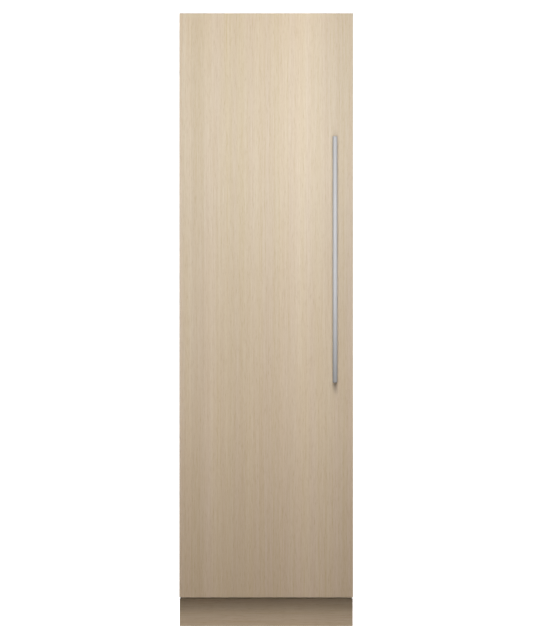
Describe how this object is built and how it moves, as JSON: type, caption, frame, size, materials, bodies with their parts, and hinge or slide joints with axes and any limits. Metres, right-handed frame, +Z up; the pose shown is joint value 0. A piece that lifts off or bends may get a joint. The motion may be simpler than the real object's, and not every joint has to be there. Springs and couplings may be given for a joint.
{
  "type": "column refrigerator",
  "caption": "Tall narrow built-in refrigerator with one wood-panelled door on articulated hinges, a round bar handle, glass shelves, door bins and drawers.",
  "frame": {"origin": "on the floor, under the middle of the whole refrigerator's width and depth", "axes": "+Z up, +X to the right seen from the front, +Y to the back, so the door faces -Y"},
  "size_m": [0.604, 0.677, 2.134],
  "materials": {
    "oak_veneer": "matt lacquered light rift oak veneer with fine straight grain",
    "brushed_stainless": "brushed along the bar",
    "stainless_trim": "fine brushed stainless sheet",
    "painted_case": "grey powder paint",
    "white_liner": "white satin moulded liner",
    "foam": "rigid polyurethane foam",
    "zinc_sheet": "galvanised sheet",
    "zinc_steel": "zinc plated steel",
    "hinge_steel": "satin nickel plated steel",
    "black_enamel": "black satin enamel",
    "aluminium_fins": "plain mill aluminium",
    "black_plastic": "matt moulded",
    "white_plastic": "matt moulded",
    "roller_nylon": "off-white nylon",
    "copper": "drawn copper tube",
    "clear_glass": "clear toughened glass, polished edges",
    "frosted_lens": "frosted light lens",
    "dark_gloss": "dark gloss",
    "seal_rubber": "light grey soft vinyl",
    "clear_plastic": "clear moulded plastic, slightly blue at the edges"
  },
  "bodies": {
    "cabinet": {"outer_case": "painted_case", "face_frame": "stainless_trim", "inner_liner": "white_liner", "cabinet_insulation": "foam", "rear_panel": "zinc_sheet", "base_frame": "zinc_steel", "toe_kick": "oak_veneer", "compressor": "black_enamel", "condenser": "aluminium_fins", "drain_pan": "black_plastic", "condenser_fan_frame": "black_plastic", "refrigerant_pipes": "copper", "machine_cover": "zinc_sheet", "power_inlet": "black_plastic", "air_duct_cover": "stainless_trim", "evaporator": "aluminium_fins", "shelf_uprights": "stainless_trim", "drawer_rails": "zinc_steel", "crisper_cover": "clear_glass", "ceiling_light": "frosted_lens", "control_panel": "dark_gloss", "top_cover": "zinc_sheet", "anti_tip_bracket": "zinc_steel", "upper_hinge_plate": "hinge_steel", "lower_hinge_plate": "hinge_steel"},
    "main_arms": {"upper_main_arm": "hinge_steel", "lower_main_arm": "hinge_steel"},
    "control_arms": {"upper_control_arm": "hinge_steel", "lower_control_arm": "hinge_steel"},
    "door": {"door_panel": "oak_veneer", "door_skin": "painted_case", "door_insulation": "foam", "door_liner": "white_liner", "door_gasket": "seal_rubber", "handle_bar": "brushed_stainless", "handle_posts": "brushed_stainless", "handle_screws": "zinc_steel", "panel_brackets": "zinc_steel", "upper_door_plate": "hinge_steel", "lower_door_plate": "hinge_steel"},
    "lower_bin": {"lower_door_bin": "clear_plastic"},
    "lower_shelf": {"lower_shelf_frame": "stainless_trim", "lower_shelf_glass": "clear_glass"},
    "middle_bin": {"middle_door_bin": "clear_plastic"},
    "middle_shelf": {"middle_shelf_frame": "stainless_trim", "middle_shelf_glass": "clear_glass"},
    "upper_bin": {"upper_door_bin": "clear_plastic"},
    "upper_shelf": {"upper_shelf_frame": "stainless_trim", "upper_shelf_glass": "clear_glass"},
    "lower_slides": {"lower_drawer_slides": "zinc_steel"},
    "lower_drawer": {"lower_drawer": "clear_plastic"},
    "upper_slides": {"upper_drawer_slides": "zinc_steel"},
    "upper_drawer": {"upper_drawer": "clear_plastic"},
    "evaporator_rotor": {"evaporator_fan": "white_plastic"},
    "condenser_rotor": {"condenser_fan": "black_plastic"},
    "left_foot": {"left_foot": "black_plastic"},
    "right_foot": {"right_foot": "black_plastic"},
    "rollers": {"rear_rollers": "roller_nylon"},
    "power_key": {"power_button": "dark_gloss"},
    "rocker": {"temperature_rocker": "dark_gloss"}
  },
  "joints": [
    {"name": "door_swing", "type": "hinge", "parent": "cabinet", "child": "main_arms", "pos_m": [-0.2595, -0.2555, 1.067], "axis": [0, 0, -1], "range_deg": [0, 131.12]},
    {"name": "door_pivot", "type": "hinge", "parent": "main_arms", "child": "door", "pos_m": [-0.2552, -0.166, 1.067], "axis": [0, 0, 1], "range_deg": [0, 21.13]},
    {"name": "control_arm_swing", "type": "hinge", "parent": "cabinet", "child": "control_arms", "pos_m": [-0.23539, -0.2555, 1.067], "axis": [0, 0, -1], "range_deg": [0, 147.64]},
    {"name": "lower_bin_lift", "type": "slide", "parent": "door", "child": "lower_bin", "axis": [0, 0, 1], "range_m": [0, 0.015]},
    {"name": "middle_bin_lift", "type": "slide", "parent": "door", "child": "middle_bin", "axis": [0, 0, 1], "range_m": [0, 0.015]},
    {"name": "upper_bin_lift", "type": "slide", "parent": "door", "child": "upper_bin", "axis": [0, 0, 1], "range_m": [0, 0.015]},
    {"name": "lower_shelf_lift", "type": "slide", "parent": "cabinet", "child": "lower_shelf", "axis": [0, 0, 1], "range_m": [0, 0.009]},
    {"name": "middle_shelf_lift", "type": "slide", "parent": "cabinet", "child": "middle_shelf", "axis": [0, 0, 1], "range_m": [0, 0.009]},
    {"name": "upper_shelf_lift", "type": "slide", "parent": "cabinet", "child": "upper_shelf", "axis": [0, 0, 1], "range_m": [0, 0.009]},
    {"name": "lower_drawer_slide", "type": "slide", "parent": "cabinet", "child": "lower_slides", "axis": [0, -1, 0], "range_m": [0, 0.055]},
    {"name": "lower_drawer_travel", "type": "slide", "parent": "lower_slides", "child": "lower_drawer", "axis": [0, -1, 0], "range_m": [0, 0.055]},
    {"name": "upper_drawer_slide", "type": "slide", "parent": "cabinet", "child": "upper_slides", "axis": [0, -1, 0], "range_m": [0, 0.055]},
    {"name": "upper_drawer_travel", "type": "slide", "parent": "upper_slides", "child": "upper_drawer", "axis": [0, -1, 0], "range_m": [0, 0.055]},
    {"name": "evaporator_fan_spin", "type": "hinge", "parent": "cabinet", "child": "evaporator_rotor", "pos_m": [0, 0.2505, 0.79], "axis": [0, -1, 0], "continuous": true},
    {"name": "condenser_fan_spin", "type": "hinge", "parent": "cabinet", "child": "condenser_rotor", "pos_m": [0.1198, 0.2335, 0.1105], "axis": [0, -1, 0], "continuous": true},
    {"name": "left_foot_turn", "type": "hinge", "parent": "cabinet", "child": "left_foot", "pos_m": [-0.2358, -0.1725, 0], "axis": [0, 0, 1], "continuous": true},
    {"name": "right_foot_turn", "type": "hinge", "parent": "cabinet", "child": "right_foot", "pos_m": [0.2358, -0.1725, 0], "axis": [0, 0, 1], "continuous": true},
    {"name": "roller_spin", "type": "hinge", "parent": "cabinet", "child": "rollers", "pos_m": [0, 0.2785, 0.018], "axis": [1, 0, 0], "continuous": true},
    {"name": "power_press", "type": "slide", "parent": "cabinet", "child": "power_key", "axis": [0, 1, 0], "range_m": [0, 0.0015], "stiffness_N_per_m": 400},
    {"name": "rocker_tilt", "type": "hinge", "parent": "cabinet", "child": "rocker", "pos_m": [0.03, -0.1875, 2.011], "axis": [0, 0, 1], "range_deg": [-4, 4], "stiffness_Nm_per_rad": 0.3}
  ],
  "couplings": [
    {"joint": "door_pivot", "follows": "door_swing", "ratio": 0.16107},
    {"joint": "control_arm_swing", "follows": "door_swing", "ratio": 1.1259},
    {"joint": "lower_drawer_travel", "follows": "lower_drawer_slide", "ratio": 1},
    {"joint": "upper_drawer_travel", "follows": "upper_drawer_slide", "ratio": 1}
  ]
}
